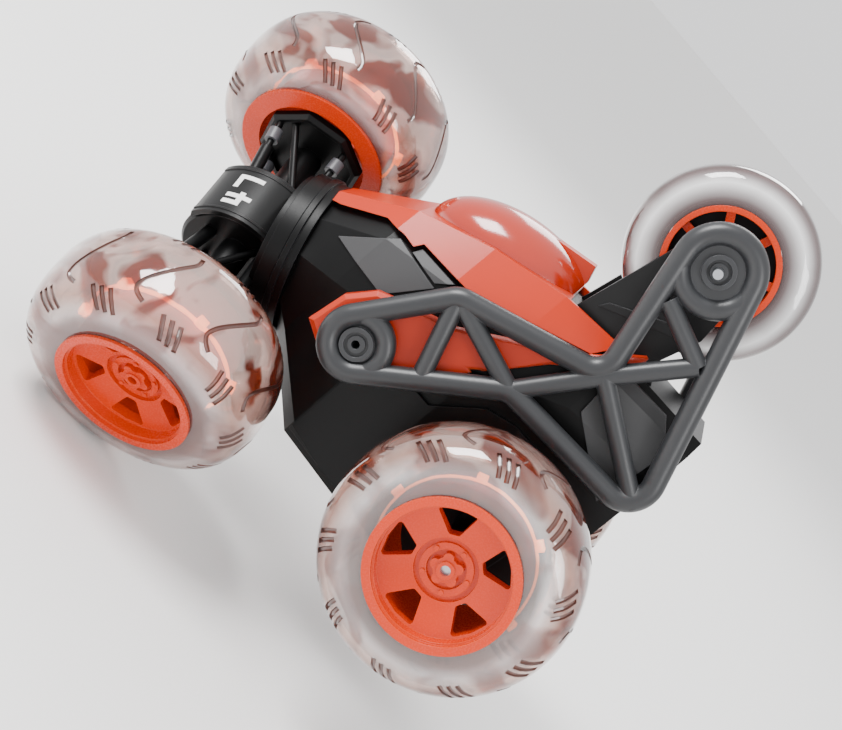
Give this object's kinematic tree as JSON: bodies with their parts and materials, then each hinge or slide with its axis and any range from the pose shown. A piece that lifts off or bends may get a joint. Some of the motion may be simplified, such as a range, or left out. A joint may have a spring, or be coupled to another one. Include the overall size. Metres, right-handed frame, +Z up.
{
  "type": "remote control stunt car",
  "caption": "Remote-control stunt car with balloon wheels, a twisting front axle module and a raised tail wheel held on two tube frames.",
  "frame": {"origin": "centre of the flat underside of the chassis, on the battery cover", "axes": "+X forward along the chassis, +Y to the car's left along the rear axle, +Z up from the flat underside"},
  "size_m": [0.2042, 0.1548, 0.2023],
  "materials": {
    "black_abs": "fine satin moulded black plastic",
    "grey_abs": "mid grey moulded plastic",
    "orange_abs": "glossy orange moulded plastic",
    "canopy_pc": "glossy tinted orange plastic",
    "frame_abs": "satin grey moulded tube frame",
    "clear_pvc": "clear soft plastic tyre",
    "steel": "bright steel",
    "white_gear": "white acetal gear",
    "board": "green circuit board",
    "battery": "blue shrink-wrapped cells",
    "tip_abs": "pale grey sleeve",
    "motor_can": "plated motor can"
  },
  "bodies": {
    "chassis": {"chassis_tub": "black_abs", "top_shell": "orange_abs", "canopy": "canopy_pc", "collar_hoop": "black_abs", "battery_cover": "black_abs", "battery_pack": "battery", "circuit_board": "board", "charging_socket": "black_abs", "body_screws": "steel", "twist_motor": "motor_can", "tail_axle": "steel", "lower_panel_left": "black_abs", "facet_panels_left": "grey_abs", "side_fairing_left": "orange_abs", "side_frame_left": "frame_abs", "fork_bar_left": "black_abs", "rear_motor_left": "motor_can", "lower_panel_right": "black_abs", "facet_panels_right": "grey_abs", "side_fairing_right": "orange_abs", "side_frame_right": "frame_abs", "fork_bar_right": "black_abs", "rear_motor_right": "motor_can"},
    "front_module": {"axle_housing": "black_abs", "number_cover": "black_abs", "twist_spindle": "white_gear", "strut_tips": "tip_abs", "knuckle_plate_left": "black_abs", "knuckle_plate_right": "black_abs", "struts_left": "black_abs", "struts_right": "black_abs"},
    "wheel_front_left": {"tyre_front_left": "clear_pvc", "rim_front_left": "orange_abs", "wheel_cap_front_left": "orange_abs", "light_ring_front_left": "board"},
    "wheel_front_right": {"tyre_front_right": "clear_pvc", "rim_front_right": "orange_abs", "wheel_cap_front_right": "orange_abs", "light_ring_front_right": "board"},
    "wheel_rear_left": {"tyre_rear_left": "clear_pvc", "rim_rear_left": "orange_abs", "wheel_cap_rear_left": "orange_abs", "light_ring_rear_left": "board", "rear_axle_left": "steel", "rear_gear_left": "white_gear"},
    "wheel_rear_right": {"tyre_rear_right": "clear_pvc", "rim_rear_right": "orange_abs", "wheel_cap_rear_right": "orange_abs", "light_ring_rear_right": "board", "rear_axle_right": "steel", "rear_gear_right": "white_gear"},
    "tail_wheel": {"tail_tyre": "clear_pvc", "tail_rim": "orange_abs", "tail_disc": "black_abs"},
    "switch": {"power_switch": "black_abs"},
    "rear_pinion_left": {"rear_pinion_left": "white_gear"},
    "rear_pinion_right": {"rear_pinion_right": "white_gear"},
    "twist_pinion": {"twist_pinion": "white_gear"}
  },
  "joints": [
    {"name": "front_twist", "type": "hinge", "parent": "chassis", "child": "front_module", "pos_m": [0.074, 0, 0.026], "axis": [0.9212, 0, -0.3891], "continuous": true},
    {"name": "wheel_front_left_spin", "type": "hinge", "parent": "front_module", "child": "wheel_front_left", "pos_m": [0.074, 0, 0.026], "axis": [-0.2438, 0.7793, -0.5772], "continuous": true},
    {"name": "wheel_front_right_spin", "type": "hinge", "parent": "front_module", "child": "wheel_front_right", "pos_m": [0.074, 0, 0.026], "axis": [-0.2438, 0.7793, -0.5772], "continuous": true},
    {"name": "wheel_rear_left_spin", "type": "hinge", "parent": "chassis", "child": "wheel_rear_left", "pos_m": [-0.04, 0, 0.026], "axis": [0, 1, 0], "continuous": true},
    {"name": "wheel_rear_right_spin", "type": "hinge", "parent": "chassis", "child": "wheel_rear_right", "pos_m": [-0.04, 0, 0.026], "axis": [0, 1, 0], "continuous": true},
    {"name": "tail_wheel_spin", "type": "hinge", "parent": "chassis", "child": "tail_wheel", "pos_m": [-0.027, 0, 0.1295], "axis": [0, 1, 0], "continuous": true},
    {"name": "power_switch_slide", "type": "slide", "parent": "chassis", "child": "switch", "axis": [0, 1, 0], "range_m": [0, 0.0048]},
    {"name": "rear_pinion_left_spin", "type": "hinge", "parent": "chassis", "child": "rear_pinion_left", "pos_m": [-0.024, 0, 0.026], "axis": [0, 1, 0], "continuous": true},
    {"name": "rear_pinion_right_spin", "type": "hinge", "parent": "chassis", "child": "rear_pinion_right", "pos_m": [-0.024, 0, 0.026], "axis": [0, 1, 0], "continuous": true},
    {"name": "twist_pinion_spin", "type": "hinge", "parent": "chassis", "child": "twist_pinion", "pos_m": [0.03645, 0, 0.02449], "axis": [0.9212, 0, -0.3891], "continuous": true}
  ],
  "couplings": [
    {"joint": "rear_pinion_left_spin", "follows": "wheel_rear_left_spin", "ratio": -3},
    {"joint": "rear_pinion_right_spin", "follows": "wheel_rear_right_spin", "ratio": -3},
    {"joint": "twist_pinion_spin", "follows": "front_twist", "ratio": -3}
  ]
}
